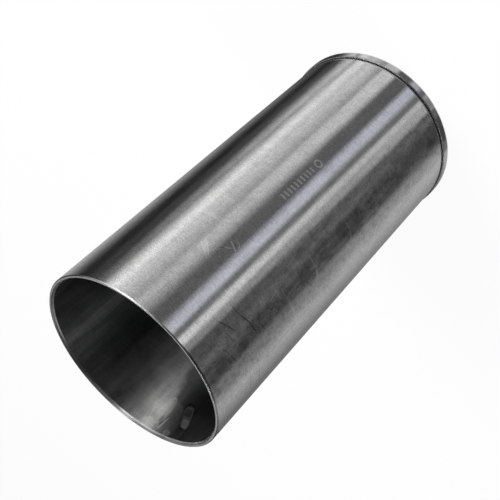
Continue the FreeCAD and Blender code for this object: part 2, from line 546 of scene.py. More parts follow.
class SharedEffects:
    """Node groups that several finishes use, each built once."""

    def __init__(self) -> None:
        """Build every group."""
        self.place = self._place()
        self.tool_lines = self._tool_lines()
        self.film = self._film()
        self.stroke = self._stroke()
        self.oval = self._oval()
        self.etching = self._etching()

    @staticmethod
    def _open(name: str, inputs: dict[str, Union[float, None]],
              outputs: tuple[str, ...]) -> tuple[bpy.types.NodeTree, Wiring, dict, dict]:
        """Make an empty group with its sockets.

        Args:
            name: The group's name.
            inputs: The number that each input holds at first, or None for a vector.
            outputs: The names of the numbers that it puts out. "Position" is a vector.

        Returns:
            The group, its wiring, its inner input sockets and its inner output sockets.
        """
        tree = bpy.data.node_groups.new(name, "ShaderNodeTree")
        for label, start in inputs.items():
            kind = "NodeSocketVector" if start is None else "NodeSocketFloat"
            made = tree.interface.new_socket(name=label, in_out="INPUT", socket_type=kind)
            if start is not None:
                made.default_value = start
        for label in outputs:
            kind = "NodeSocketVector" if label == "Position" else "NodeSocketFloat"
            tree.interface.new_socket(name=label, in_out="OUTPUT", socket_type=kind)
        wires = Wiring(tree)
        entry = {s.name: s for s in wires.node("NodeGroupInput").outputs if s.name}
        leave = {s.name: s for s in wires.node("NodeGroupOutput").inputs if s.name}
        return tree, wires, entry, leave

    def _place(self) -> bpy.types.NodeTree:
        """Place a point on the liner by its angle round from the front, arc length and height.

        The angle is the arc tangent of minus X over minus Y. The arc length is that angle times
        the barrel's radius, and the height is Z. Both lengths are in millimetres.

        Returns:
            The group.
        """
        tree, wires, entry, leave = self._open(
            "liner_place", {"Radius": BARREL_RADIUS}, ("Position", "Around", "Along"))
        position = wires.node("ShaderNodeTexCoord").outputs["Object"]
        split = wires.node("ShaderNodeSeparateXYZ")
        wires.feed(split.inputs[0], position)
        back_x = wires.math("MULTIPLY", split.outputs[0], -1.0)
        back_y = wires.math("MULTIPLY", split.outputs[1], -1.0)
        angle = wires.math("ARCTAN2", back_x, back_y)
        wires.feed(leave["Position"], position)
        wires.feed(leave["Around"], wires.math("MULTIPLY", angle, entry["Radius"]))
        wires.feed(leave["Along"], wires.math("MULTIPLY", split.outputs[2], 1000.0))
        return tree

    def _tool_lines(self) -> bpy.types.NodeTree:
        """Draw the fine lines that a wheel or a tool leaves round the axis.

        Noise is squeezed along the axis and drawn out across it, so each patch becomes a short
        arc. A fine layer and a coarse one are added.

        Returns:
            The group.
        """
        tree, wires, entry, leave = self._open(
            "tool_lines", {"Position": None, "Pitch": 0.5, "Length": 4.0}, ("Height", "Grain"))
        across = wires.math("DIVIDE", 1000.0, entry["Length"])
        along = wires.math("DIVIDE", 1000.0, entry["Pitch"])
        squeezed = wires.vector("MULTIPLY", entry["Position"], wires.point(across, across, along))
        fine = wires.noise(squeezed, 1.0, 3.0, 0.65)
        coarse = wires.noise(squeezed, 0.37, 2.0, 0.5)
        both = wires.total(0.0, (fine, 0.6), (coarse, 0.4))
        wires.feed(leave["Height"], both)
        wires.feed(leave["Grain"], wires.ramp(both, 0.41, 0.60))
        return tree

    def _film(self) -> bpy.types.NodeTree:
        """Spread a thin uneven film, such as oil wiped by hand, in cloudy patches.

        Returns:
            The group.
        """
        tree, wires, entry, leave = self._open(
            "handled_film", {"Position": None, "Patch": 12.0, "Cover": 0.5}, ("Mask",))
        scale = wires.math("DIVIDE", 1000.0, entry["Patch"])
        cloud = wires.noise(entry["Position"], scale, 2.0, 0.45)
        low = wires.total(0.70, (entry["Cover"], -0.5))
        high = wires.math("ADD", low, 0.30)
        wires.feed(leave["Mask"], wires.ramp(cloud, low, high))
        return tree

    def _stroke(self) -> bpy.types.NodeTree:
        """Draw one bowed stroke with pointed ends.

        The point's share t along the stroke is its dot product with the stroke over the stroke's
        length squared, held from 0 to 1. Its distance joins what is left along the stroke and
        what is left across it, less the bow times 4t(1 - t). The half width shrinks with the
        same hump.

        Returns:
            The group.
        """
        tree, wires, entry, leave = self._open(
            "wear_stroke",
            {"Around": 0.0, "Along": 0.0, "From Around": 0.0, "From Along": 0.0,
             "To Around": 1.0, "To Along": 1.0, "Bow": 0.0, "Half Width": 0.3}, ("Mask",))
        start = wires.point(entry["From Around"], entry["From Along"])
        end = wires.point(entry["To Around"], entry["To Along"])
        reach = wires.vector("SUBTRACT", wires.point(entry["Around"], entry["Along"]), start)
        run = wires.vector("SUBTRACT", end, start)
        length = wires.vector("LENGTH", run)
        unit = wires.vector("NORMALIZE", run)
        ahead = wires.vector("DOT_PRODUCT", reach, unit)
        share = wires.math("DIVIDE", ahead, length, clamp=True)
        aside_unit = wires.vector("CROSS_PRODUCT", unit, (0.0, 0.0, 1.0))
        aside = wires.vector("DOT_PRODUCT", reach, aside_unit)
        hump = wires.product(share, 4.0, wires.math("SUBTRACT", 1.0, share))
        off = wires.math("SUBTRACT", aside, wires.math("MULTIPLY", entry["Bow"], hump))
        beyond = wires.math("SUBTRACT", ahead, wires.math("MULTIPLY", share, length))
        distance = wires.vector("LENGTH", wires.point(off, beyond))
        thin = wires.math("POWER", hump, 0.4)
        width = wires.total(0.05, (entry["Half Width"], thin))
        wires.feed(leave["Mask"], wires.ramp(distance, width, wires.math("MULTIPLY", width, 0.3)))
        return tree

    def _oval(self) -> bpy.types.NodeTree:
        """Draw one soft oval: one inside the inner share of its half sizes, nothing past them.

        The distance is the root of the sum of both parts' powers, each over its half size.
        The rim is a thin line where the distance, over the half sizes, is 0.95.

        Returns:
            The group.
        """
        tree, wires, entry, leave = self._open(
            "soft_oval",
            {"Around": 0.0, "Along": 0.0, "Centre Around": 0.0, "Centre Along": 0.0,
             "Half Round": 4.0, "Half Along": 4.0, "Lean": 0.0, "Inner": 0.7, "Waver": 0.0,
             "Square": 2.0},
            ("Mask", "Rim"))
        ahead = wires.math("SUBTRACT", entry["Along"], entry["Centre Along"])
        aside = wires.math("SUBTRACT", entry["Around"], entry["Centre Around"])
        upright = wires.math("SUBTRACT", aside, wires.math("MULTIPLY", ahead, entry["Lean"]))
        powers = [wires.math("POWER", wires.math("ABSOLUTE", wires.math("DIVIDE", part, half)),
                             entry["Square"])
                  for part, half in ((upright, entry["Half Round"]),
                                     (ahead, entry["Half Along"]))]
        distance = wires.math("POWER", wires.math("ADD", *powers),
                              wires.math("DIVIDE", 1.0, entry["Square"]))
        wavering = wires.math("ADD", distance, entry["Waver"])
        wires.feed(leave["Mask"], wires.ramp(wavering, 1.0, entry["Inner"]))
        off_rim = wires.math("ABSOLUTE", wires.math("SUBTRACT", wavering, 0.95))
        wires.feed(leave["Rim"], wires.ramp(off_rim, 0.12, 0.02))
        return tree

    def _etching(self) -> bpy.types.NodeTree:
        """Etch a plain ring and a row of equal bars, all of one height, along the barrel.

        Returns:
            The group.
        """
        tree, wires, entry, leave = self._open(
            "etched_row",
            {"Around": 0.0, "Along": 0.0, "Centre Around": 0.0, "Row Start": 0.0,
             "Row End": 30.0, "Ring Along": 36.0, "Half Height": 2.0, "Pitch": 2.4}, ("Mask",))
        across = wires.math("ABSOLUTE", wires.math("SUBTRACT", entry["Around"],
                                                   entry["Centre Around"]))
        in_height = wires.ramp(across, entry["Half Height"],
                               wires.math("SUBTRACT", entry["Half Height"], 0.25))
        steps = wires.math("DIVIDE", wires.math("SUBTRACT", entry["Along"], entry["Row Start"]),
                           entry["Pitch"])
        phase = wires.math("ABSOLUTE", wires.math("SUBTRACT", wires.math("FRACT", steps), 0.5))
        in_bar = wires.ramp(phase, 0.27, 0.15)
        bars = wires.product(in_height, in_bar,
                             wires.math("GREATER_THAN", entry["Along"], entry["Row Start"]),
                             wires.math("LESS_THAN", entry["Along"], entry["Row End"]))
        reach = wires.point(across, wires.math("SUBTRACT", entry["Along"], entry["Ring Along"]))
        wall = wires.math("ABSOLUTE", wires.math(
            "SUBTRACT", wires.vector("LENGTH", reach),
            wires.math("MULTIPLY", entry["Half Height"], 1.1)))
        wires.feed(leave["Mask"], wires.math("MAXIMUM", bars, wires.ramp(wall, 0.62, 0.36)))
        return tree


class Wall:
    """One round wall of the liner, on which wear is placed by angle and height."""

    def __init__(self, wires: Wiring, effects: SharedEffects, radius: float) -> None:
        """Place every point of the wall.

        Args:
            wires: The material's wiring.
            effects: The shared node groups.
            radius: The wall's distance from the axis, in millimetres.
        """
        self.wires = wires
        self.effects = effects
        self.radius = radius
        place = wires.use(effects.place, Radius=radius)
        self.position, self.around, self.along = (
            place[name] for name in ("Position", "Around", "Along"))

    def arc(self, degrees: float) -> float:
        """Turn an angle round the axis into millimetres round the wall."""
        return math.radians(degrees) * self.radius

    def drawn_out(self, share: float) -> Socket:
        """Give the position with its height multiplied, which draws a pattern out along it."""
        return self.wires.vector("MULTIPLY", self.position, (1.0, 1.0, share))

    def film(self, patch: float, cover: float, share: float = 1.0) -> Socket:
        """Spread a cloudy film, with patches drawn out along the bore by the share."""
        return self.wires.use(self.effects.film, Position=self.drawn_out(share),
                              Patch=patch, Cover=cover)["Mask"]

    def tool_lines(self, pitch: float, length: float) -> bpy.types.NodeOutputs:
        """Draw tool lines of a pitch and a length in millimetres."""
        return self.wires.use(self.effects.tool_lines, Position=self.position,
                              Pitch=pitch, Length=length)

    def strokes(self, marks: tuple[Mark, ...]) -> Feed:
        """Gather strokes into one mask, which holds the strongest at each point.

        Args:
            marks: The strokes.

        Returns:
            The mask.
        """
        gathered: Feed = 0.0
        for mark in marks:
            stroke = self.wires.use(
                self.effects.stroke, Around=self.around, Along=self.along,
                From_Around=self.arc(mark.start[0]), From_Along=mark.start[1],
                To_Around=self.arc(mark.end[0]), To_Along=mark.end[1],
                Bow=mark.bow, Half_Width=mark.half_width)["Mask"]
            gathered = self.wires.math("MAXIMUM", gathered,
                                       self.wires.math("MULTIPLY", stroke, mark.strength))
        return gathered

    def etched(self, etching: Etching) -> Socket:
        """Etch the ring and the bars.

        Args:
            etching: Their places and sizes.

        Returns:
            The mask.
        """
        return self.wires.use(
            self.effects.etching, Around=self.around, Along=self.along,
            Centre_Around=self.arc(etching.angle), Row_Start=etching.row[0],
            Row_End=etching.row[1], Ring_Along=etching.ring,
            Half_Height=etching.half_height, Pitch=etching.pitch)["Mask"]

    def ovals(self, dabs: tuple[Dab, ...], output: str = "Mask", waver: Feed = 0.0,
              inner: float = 0.7) -> Feed:
        """Gather ovals into one mask, which holds the strongest at each point.

        Args:
            dabs: The ovals.
            output: Which of an oval's outputs is gathered.
            waver: A cloudy number that moves the edges in and out.
            inner: The share of its half sizes inside which an oval is full.

        Returns:
            The mask.
        """
        gathered: Feed = 0.0
        for dab in dabs:
            oval = self.wires.use(
                self.effects.oval, Around=self.around, Along=self.along,
                Centre_Around=self.arc(dab.centre[0]), Centre_Along=dab.centre[1],
                Half_Round=dab.half_round, Half_Along=dab.half_along, Lean=dab.lean,
                Inner=inner, Waver=waver, Square=dab.square)[output]
            gathered = self.wires.math("MAXIMUM", gathered,
                                       self.wires.math("MULTIPLY", oval, dab.strength))
        return gathered


class Surface:
    """One material, emptied and opened for wiring."""

    def __init__(self, name: str) -> None:
        """Make the material of that name.

        Args:
            name: The name.
        """
        self.material = bpy.data.materials.new(name)
        self.material.use_nodes = True
        self.material.node_tree.nodes.clear()
        self.wires = Wiring(self.material.node_tree)
        self.output = self.wires.node("ShaderNodeOutputMaterial").inputs["Surface"]


class Metal(Surface):
    """One metal material, with the shader's plain settings made."""

    def __init__(self, name: str, anisotropy: float = 0.0, coat: float = 0.0) -> None:
        """Make the material.

        Args:
            name: The material's name.
            anisotropy: How far the shine is drawn out across the tool lines.
            coat: How much clear oil lies on the metal.
        """
        super().__init__(name)
        self.shader = self.wires.node("ShaderNodeBsdfPrincipled")
        self.shader.inputs["Metallic"].default_value = 1.0
        self.shader.inputs["Coat Weight"].default_value = coat
        self.shader.inputs["Coat Roughness"].default_value = 0.12
        if anisotropy > 0.0:
            round_axis = self.wires.node("ShaderNodeTangent", direction_type="RADIAL", axis="Z")
            self.shader.inputs["Anisotropic"].default_value = anisotropy
            self.shader.inputs["Anisotropic Rotation"].default_value = 0.25
            self.wires.feed(self.shader.inputs["Tangent"], round_axis.outputs[0])
        self.wires.feed(self.output, self.shader.outputs[0])

    def finish(self, colour: Feed, roughness: Feed, height: Socket, depth: float) -> None:
        """Join the worked-out colour, roughness and relief to the shader.

        Args:
            colour: The metal's colour.
            roughness: Its roughness.
            height: The relief.
            depth: What a relief of 1 stands for, in metres.
        """
        bump = self.wires.node("ShaderNodeBump")
        bump.inputs["Strength"].default_value = 1.0
        bump.inputs["Distance"].default_value = depth
        self.wires.feed(bump.inputs["Height"], height)
        self.wires.feed(self.shader.inputs["Base Color"], colour)
        self.wires.feed(self.shader.inputs["Roughness"], roughness)
        self.wires.feed(self.shader.inputs["Normal"], bump.outputs[0])


@dataclass(frozen=True)
class GroundBarrel:
    """Cylindrically ground iron: satin, drawn out along the bore, with handling marks.

    Attributes:
        clean: The iron's colour.
        pale: Its colour where a scratch or the etching bares it; on the scratches it is also a
            painted sheen.
        dark: Its colour under oil and soot, the painted shade of the dark scratches and a painted
            dark reflection at the tail edge.
        painted_nick_shade: Its colour inside the nick, painted near black as the hollow's shade.
        drawn: How far its shine is drawn out along the bore.
        sheen: Its roughness where it is clean.
        smeared: Its roughness where it was wiped by hand.
        hazed: Its roughness where fingers have touched it.
        oily: Its roughness under a dab of oil.
        scratched: Its roughness in a pale mark.
        line_pitch: The spacing of the grinding lines, in millimetres.
        line_length: How long such a line is, in millimetres.
        line_contrast: How strongly the lines show in its tone.
        speckle_contrast: The same for the grinding's fine speckle.
        streak_contrast: The same for the streaks along the bore.
        line_depth: The relief of the lines, in metres.
        swell: How high its slow waves are, in line depths.
        dent: How deep the nick is, in line depths.
        held: Where hands held it: the angles where the hold starts, is full, fades and ends.
        calm: Where its speckle is calmer, by the same four places in millimetres round it.
        etching: The plain marks etched on it.
    """

    clean: Colour = (0.60, 0.60, 0.605)
    pale: Colour = (0.92, 0.92, 0.91)
    dark: Colour = (0.16, 0.16, 0.165)
    painted_nick_shade: Colour = even(0.01)
    drawn: float = 0.88
    sheen: float = 0.122
    smeared: float = 0.175
    hazed: float = 0.30
    oily: float = 0.14
    scratched: float = 0.30
    line_pitch: float = 0.40
    line_length: float = 1.0
    line_contrast: float = 0.20
    speckle_contrast: float = 1.18
    streak_contrast: float = 0.24
    line_depth: float = 2.0e-6
    swell: float = 18.0
    dent: float = 120.0
    held: tuple[float, float, float, float] = (13.0, 19.0, 40.0, 58.0)
    calm: tuple[float, float, float, float] = (-2.5, 0.5, 4.5, 6.0)
    etching: Etching = Etching()

    def _tone(self, wires: Wiring, wall: Wall, lines: Socket) -> Socket:
        """Work out the clean skin's tone from its lines, its speckle and its streaks.

        The speckle is calmer on one narrow strip beside the front.

        Args:
            wires: The material's wiring.
            wall: The barrel.
            lines: The grinding lines' grain.

        Returns:
            The tone as a colour.
        """
        speckle = wires.noise(wall.position, 1900.0, 2.0, 0.7)
        streaks = wires.noise(wall.drawn_out(0.07), 700.0, 2.0, 0.6)
        starts, full, fades, ends = self.calm
        calm = wires.product(wires.ramp(wall.around, starts, full),
                             wires.ramp(wall.around, ends, fades, 0.0, 0.5))
        lively = wires.product(wires.math("SUBTRACT", speckle, 0.5),
                               wires.math("SUBTRACT", 1.0, calm))
        mean = 1.0 - 0.5 * (self.line_contrast + self.streak_contrast)
        lit = wires.total(mean, (lines, self.line_contrast), (lively, self.speckle_contrast),
                          (streaks, self.streak_contrast))
        return wires.tint(1.0, self.clean, lit, "MULTIPLY")

    def build(self, effects: SharedEffects) -> bpy.types.Material:
        """Make the barrel's material, from the grinding up to the wear that lies on it.

        Args:
            effects: The shared node groups.

        Returns:
            The material.
        """
        metal = Metal("ground_barrel", anisotropy=self.drawn)
        wires = metal.wires
        wall = Wall(wires, effects, BARREL_RADIUS)
        lines = wall.tool_lines(self.line_pitch, self.line_length)
        film = wall.film(22.0, 0.5)
        wiped = wall.film(9.0, 0.4, 0.3)
        cloud = wires.noise(wall.position, 260.0, 3.0, 0.6)
        starts, full, fades, ends = (wall.arc(degrees) for degrees in self.held)
        grip = wires.product(wires.ramp(wall.around, starts, full),
                             wires.ramp(wall.around, ends, fades))
        touch = wires.ramp(wires.noise(wall.drawn_out(0.26), 210.0, 2.0, 0.50), 0.40, 0.66)
        haze = wires.product(wires.total(0.35, (grip, 0.65)), touch)
        soot = wires.product(wires.ramp(cloud, 0.48, 0.66, 0.0, 0.36),
                             wires.total(0.2, (grip, 0.8)))
        dabs = wall.ovals(OIL_DABS, waver=wires.total(-0.45, (cloud, 0.9)))
        # Dark scratches painted as shade, and a painted dark reflection at the tail edge
        dark = wall.strokes(DARK_MARKS)
        # The nick's hollow is painted near black as shade
        nick = wall.strokes((TAIL_NICK,))
        # Pale scratches, bared and painted with a sheen, and the etching
        bared_and_sheen = wires.math("MAXIMUM", wall.strokes(PALE_MARKS), wall.etched(self.etching))

        colour = wires.layered(
            self._tone(wires, wall, lines["Grain"]), (wires.product(film, 0.10), self.dark),
            (soot, self.dark), (wires.product(dabs, 0.55), self.dark), (dark, self.dark),
            (bared_and_sheen, self.pale), (nick, self.painted_nick_shade))
        rough = wires.eased(
            self.sheen, (wires.math("MAXIMUM", film, wiped), self.smeared),
            (wires.product(dabs, 0.7), self.oily), (haze, self.hazed),
            (bared_and_sheen, self.scratched), (nick, 1.0))
        waves = wires.noise(wall.drawn_out(0.25), 70.0, 1.0, 0.5)
        relief = wires.total(lines["Height"], (dark, -0.8), (waves, self.swell),
                             (nick, -self.dent))
        wires.feed(metal.shader.inputs["Metallic"], wires.math("SUBTRACT", 1.0, nick))
        metal.finish(colour, rough, relief, self.line_depth)
        return metal.material


@dataclass(frozen=True)
class TurnedFinish:
    """Iron as a lathe tool leaves it, in fine rings.

    Attributes:
        name: The material's name.
        clean: Its colour on the crests.
        grime: Its colour where dirt lies in the rings.
        dirt: How much of the dirt shows, from 0 to 1.
        sheen: Its roughness.
        pitch: The spacing of the tool lines, in millimetres.
        depth: How deep the lines are, in metres.
        drawn: How far its shine is drawn out across the lines.
        stains: Ovals that darken it, partly oil and dirt and partly painted shade that dims its
            glints and dark reflections.
        stain: The colour of those.
    """

    name: str
    clean: Colour
    grime: Colour
    dirt: float
    sheen: float
    depth: float
    pitch: float = 0.25
    drawn: float = 0.5
    stains: tuple[Dab, ...] = ()
    stain: Colour = even(0.03)

    def build(self, effects: SharedEffects) -> bpy.types.Material:
        """Make the finish's material.

        Args:
            effects: The shared node groups.

        Returns:
            The material.
        """
        metal = Metal(self.name, anisotropy=self.drawn)
        wires = metal.wires
        wall = Wall(wires, effects, BARREL_RADIUS)
        lines = wall.tool_lines(self.pitch, 6.0)
        film = wall.film(9.0, 0.5)
        fleck = wires.noise(wall.position, 1500.0, 2.0, 0.7)
        hidden = wires.product(wires.math("ADD", film, lines["Grain"]), 0.5 * self.dirt)
        toned = wires.tint(hidden, self.clean, self.grime)
        colour = wires.tint(1.0, toned, wires.total(0.8, (fleck, 0.4)), "MULTIPLY")
        if self.stains:
            colour = wires.tint(wall.ovals(self.stains, inner=0.4), colour, self.stain)
        metal.finish(colour, wires.total(self.sheen, (film, 0.12)), lines["Height"], self.depth)
        return metal.material


@dataclass(frozen=True)
class HonedBore:
    """The running bore: dark, cross-hatched by the hone and wet with oil near the tail end.

    Attributes:
        clean: The iron's colour on the hone's crests.
        oiled: Its colour in the hone's lines.
        wiped: Its colour where the oil has been rubbed off; it also paints the light towards the
            mouth and the highlight of the rubbed band.
        dark: Its colour under wet oil, and the painted shade deeper in the bore and on the far
            wall.
        edge: The colour of the shadow round a drop of oil.
        tide: The colour of the line that drying oil leaves.
        hatch_angle: How steeply the hone's lines climb, in degrees.
        hatch_pitch: Their spacing, in millimetres.
        drawn: How far its shine is drawn out.
        sheen: Its roughness.
        smeared: Its roughness under a smear.
        line_depth: The relief of the hone's lines, in metres.
    """

    clean: Colour = (0.157, 0.166, 0.163)
    oiled: Colour = (0.113, 0.122, 0.120)
    wiped: Colour = (0.62, 0.62, 0.61)
    dark: Colour = (0.035, 0.037, 0.036)
    edge: Colour = even(0.012)
    tide: Colour = (0.85, 0.85, 0.84)
    hatch_angle: float = 28.0
    hatch_pitch: float = 0.5
    drawn: float = 0.90
    sheen: float = 0.375
    smeared: float = 0.46
    line_depth: float = 0.35e-6

    def _scratches(self, wires: Wiring, position: Socket) -> Socket:
        """Lay two sets of hone lines that lean both ways.

        Each point is turned about the axis by its height over the bore's radius and over the
        tangent of the lines' climb, so that a line becomes a place where only its length
        changes, and the noise is fine across it and drawn out along it.

        Args:
            wires: The material's wiring.
            position: The point on the bore.

        Returns:
            The stronger of both sets at each point.
        """
        height = wires.node("ShaderNodeSeparateXYZ")
        wires.feed(height.inputs[0], position)
        climb = 1000.0 / (BORE_RADIUS * math.tan(math.radians(self.hatch_angle)))
        across = 1000.0 / self.hatch_pitch
        gathered: Feed = 0.0
        for side in (-1.0, 1.0):
            turned = wires.node("ShaderNodeVectorRotate", rotation_type="Z_AXIS")
            wires.feed(turned.inputs["Vector"], position)
            wires.feed(turned.inputs["Angle"], wires.product(height.outputs[2], side * climb))
            laid = wires.vector("MULTIPLY", turned.outputs[0], (across, across, 70.0))
            gathered = wires.math("MAXIMUM", gathered, wires.noise(laid, 1.0, 2.0, 0.6))
        return gathered

    def _rubbed(self, wires: Wiring, wall: Wall, scratches: Socket, waver: Socket) -> Socket:
        """Colour the honed wall: painted light towards the mouth, a band rubbed paler with a
        painted highlight, and painted shade deeper in the bore and on the far wall.

        Args:
            wires: The material's wiring.
            wall: The bore.
            scratches: The hone's lines.
            waver: A cloudy number that moves the edges in and out.

        Returns:
            The wall's colour below the smears.
        """
        streaks = wall.film(6.0, 0.6, 0.2)
        honed = wires.tint(wires.ramp(scratches, 0.5, 0.75), self.oiled, self.clean)
        # Painted light: the wall grows lighter towards the mouth
        mouth = wires.ramp(wall.along, 176.0, 221.0, 0.0, 0.26)
        # The band rubbed paler, which also carries a painted highlight
        handled = wires.product(
            wall.ovals((BORE_RUBBED_AND_HIGHLIGHT,), waver=wires.product(waver, 0.5), inner=0.0),
            wires.total(0.70, (streaks, 0.30)))
        # Painted shade: the broad oval on the side wall, darker deeper into the bore
        depth = wires.ramp(wall.along, 221.0, 196.0, 0.36, 0.68)
        pool = wires.product(
            wall.ovals((BORE_PAINTED_DEEP_SHADE,), waver=wires.product(waver, 0.35), inner=0.86), depth)
        # Painted shade on the far wall
        shade = wall.ovals((BORE_PAINTED_FAR_SHADE,), inner=0.55)
        return wires.layered(
            honed, (wires.product(mouth, wires.math("ADD", streaks, 0.4)), self.wiped),
            (handled, self.wiped), (wires.math("MAXIMUM", pool, shade), self.dark))

    def build(self, effects: SharedEffects) -> bpy.types.Material:
        """Make the bore's material, from the hone's lines up to the oil that lies on them.

        Args:
            effects: The shared node groups.

        Returns:
            The material.
        """
        metal = Metal("honed_bore", anisotropy=self.drawn, coat=0.05)
        wires = metal.wires
        wall = Wall(wires, effects, BORE_RADIUS)
        scratches = self._scratches(wires, wall.position)
        cloud = wires.noise(wall.position, 190.0, 3.0, 0.6)
        waver = wires.total(-0.25, (cloud, 0.5))
        smears = wall.ovals(BORE_DABS, waver=waver)
        rims = wall.ovals(BORE_DABS[:1], "Rim", waver)
        tides = wall.ovals(BORE_TIDE_LINES, "Rim", waver)
        wet = wall.ovals(BORE_WET_SPOTS, waver=waver)
        wipes = wall.strokes(BORE_WIPES)
        mottled = wires.product(smears, wires.ramp(cloud, 0.30, 0.60, 0.55, 1.10))
        outline = wires.math("MULTIPLY", wires.product(rims, 3.0),
                             wires.ramp(cloud, 0.36, 0.58, 0.25, 1.0), clamp=True)
        colour = wires.layered(
            self._rubbed(wires, wall, scratches, waver), (mottled, self.wiped),
            (wet, self.dark), (outline, self.edge),
            (wires.math("MAXIMUM", wires.product(tides, 0.60), wipes), self.tide))

        threads = wires.noise(wall.drawn_out(0.07), 420.0, 3.0, 0.6)
        speckle = wires.noise(wall.position, 1500.0, 2.0, 0.7)
        grain = wires.total(0.435, (wall.tool_lines(0.36, 4.0)["Grain"], 0.12),
                            (speckle, 0.55), (threads, 0.46))
        rough = wires.eased(wires.total(self.sheen, (wall.film(16.0, 0.6), 0.06)),
                            (smears, self.smeared))
        metal.finish(wires.tint(1.0, colour, grain, "MULTIPLY"), rough, scratches,
                     self.line_depth)
        return metal.material


@dataclass(frozen=True)
class Corner:
    """One corner of the wall section.

    Attributes:
        radius: Its distance from the bore's axis, in millimetres.
        height: Its height above the head face, in millimetres.
        rounding: The radius that breaks it, in millimetres.
        zone: The finish of the stretch that leads on from it.
        steps: How many parts that stretch is divided into.
    """

    radius: float
    height: float
    rounding: float
    zone: Zone
    steps: int


@dataclass
class Liner:
    """The liner's one piece: its wall section carried round the axis.

    Attributes:
        undercut_depth: How far the undercut goes below the barrel, in millimetres.
        undercut_floor: The width of its floor, in millimetres.
        undercut_slope: The slope of its run-out, in degrees.
        undercut_corner: The fillet up to the seat, in millimetres.
        tail_chamfer: The outer edge of the tail end, in millimetres.
        lead_in_depth: The taper of the bore's mouth along the axis, in millimetres.
        lead_in_width: The same taper across the wall, in millimetres.
        lip_share: Where the taper's lip starts, rubbed and with a painted highlight, as a share of
            its depth.
        painted_shade_seat: How much of the seat next to the undercut is painted near black as
            shade, in millimetres.
        painted_shade_floor: How much of the undercut's floor above its fillet is painted the same,
            in millimetres.
        rim_chamfer: The outer edge of the head face, in millimetres.
        seat_chamfer: The outer edge of the flange seat, in millimetres.
        bore_chamfer: The bore's edge at the head face, in millimetres.
        broken_edge: The rounding that turning and handling leave on an edge, in millimetres.
        round_steps: How many parts the circle is divided into.
    """

    undercut_depth: float = 0.3
    undercut_floor: float = 0.8
    undercut_slope: float = 15.0
    undercut_corner: float = 0.35
    tail_chamfer: float = 0.5
    lead_in_depth: float = 1.5
    lead_in_width: float = 0.7
    lip_share: float = 0.5
    painted_shade_seat: float = 0.35
    painted_shade_floor: float = 0.18
    rim_chamfer: float = 0.6
    seat_chamfer: float = 0.3
    bore_chamfer: float = 0.5
    broken_edge: float = 0.09
    round_steps: int = 352

    def __post_init__(self) -> None:
        """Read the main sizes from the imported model."""
        low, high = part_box("liner")
        self.seat_height = MOUNTS["flange_seat"]["pos_m"][2] * 1000.0
        self.flange_radius = (high[0] - low[0]) * 500.0
        self.length = (high[2] - low[2]) * 1000.0

    def corners(self) -> list[Corner]:
        """List the section's corners, from the head face's inner edge out and up.

        Returns:
            The corners, in order round the section.
        """
        edge = self.broken_edge
        runout = self.undercut_depth / math.tan(math.radians(self.undercut_slope))
        floor_radius = BARREL_RADIUS - self.undercut_depth
        floor_top = self.seat_height + self.undercut_floor
        tail = self.length
        return [
            Corner(BORE_RADIUS + self.bore_chamfer, 0.0, edge, Zone.HEAD_FACE, 6),
            Corner(self.flange_radius - self.rim_chamfer, 0.0, edge, Zone.FLANGE_RIM, 3),
            Corner(self.flange_radius, self.rim_chamfer, edge, Zone.FLANGE_RIM, 10),
            Corner(self.flange_radius, self.seat_height - self.seat_chamfer, edge,
                   Zone.FLANGE_RIM, 2),
            Corner(self.flange_radius - self.seat_chamfer, self.seat_height, edge,
                   Zone.SEAT_FACE, 3),
            # The seat next to the undercut and the undercut's floor are painted near black as
            # shade
            Corner(BARREL_RADIUS + self.painted_shade_seat, self.seat_height, 0.0,
                   Zone.UNDERCUT, 2),
            Corner(floor_radius, self.seat_height, self.undercut_corner, Zone.UNDERCUT, 1),
            Corner(floor_radius, self.seat_height + self.undercut_corner + self.painted_shade_floor, 0.0,
                   Zone.RUN_OUT, 2),
            Corner(floor_radius, floor_top, edge, Zone.RUN_OUT, 4),
            Corner(BARREL_RADIUS, floor_top + runout, edge, Zone.BARREL, 70),
            Corner(BARREL_RADIUS, tail - self.tail_chamfer, edge, Zone.TAIL_CHAMFER, 3),
            Corner(BARREL_RADIUS - self.tail_chamfer, tail, edge, Zone.TAIL_FACE, 3),
            Corner(BORE_RADIUS + self.lead_in_width, tail, edge, Zone.LEAD_IN, 3),
            Corner(BORE_RADIUS + self.lead_in_width * (1.0 - self.lip_share),
                   tail - self.lead_in_depth * self.lip_share, 0.0, Zone.MOUTH_LIP, 3),
            Corner(BORE_RADIUS, tail - self.lead_in_depth, edge, Zone.BORE, 60),
            Corner(BORE_RADIUS, self.bore_chamfer, edge, Zone.HEAD_FACE, 3),
        ]

    @staticmethod
    def _arc(before: np.ndarray, corner: np.ndarray, after: np.ndarray,
             rounding: float, steps: int = 5) -> np.ndarray:
        """Round one corner of the section. One on a straight run stays a single point.

        The arc touches both sides at the rounding times the tangent of half the turn. Each of
        its points is the centre plus the rounding times the direction that turns evenly from
        one side's normal to the other's.

        Args:
            before: The corner before it.
            corner: The corner.
            after: The corner after it.
            rounding: The arc's radius.
            steps: How many chords it has.

        Returns:
            The arc's points, one a row.
        """
        inward = (corner - before) / np.linalg.norm(corner - before)
        onward = (after - corner) / np.linalg.norm(after - corner)
        cross = inward[0] * onward[1] - inward[1] * onward[0]
        turn = math.atan2(cross, float(inward @ onward))
        if rounding == 0.0:
            return corner[None, :]
        touch = corner - inward * rounding * math.tan(abs(turn) / 2.0)
        side = math.copysign(1.0, turn)
        to_centre = side * np.array([-inward[1], inward[0]])
        centre = touch + rounding * to_centre
        angles = np.linspace(0.0, turn, steps + 1)
        spoke = touch - centre
        return centre + np.stack([np.cos(angles) * spoke[0] - np.sin(angles) * spoke[1],
                                  np.sin(angles) * spoke[0] + np.cos(angles) * spoke[1]], axis=1)

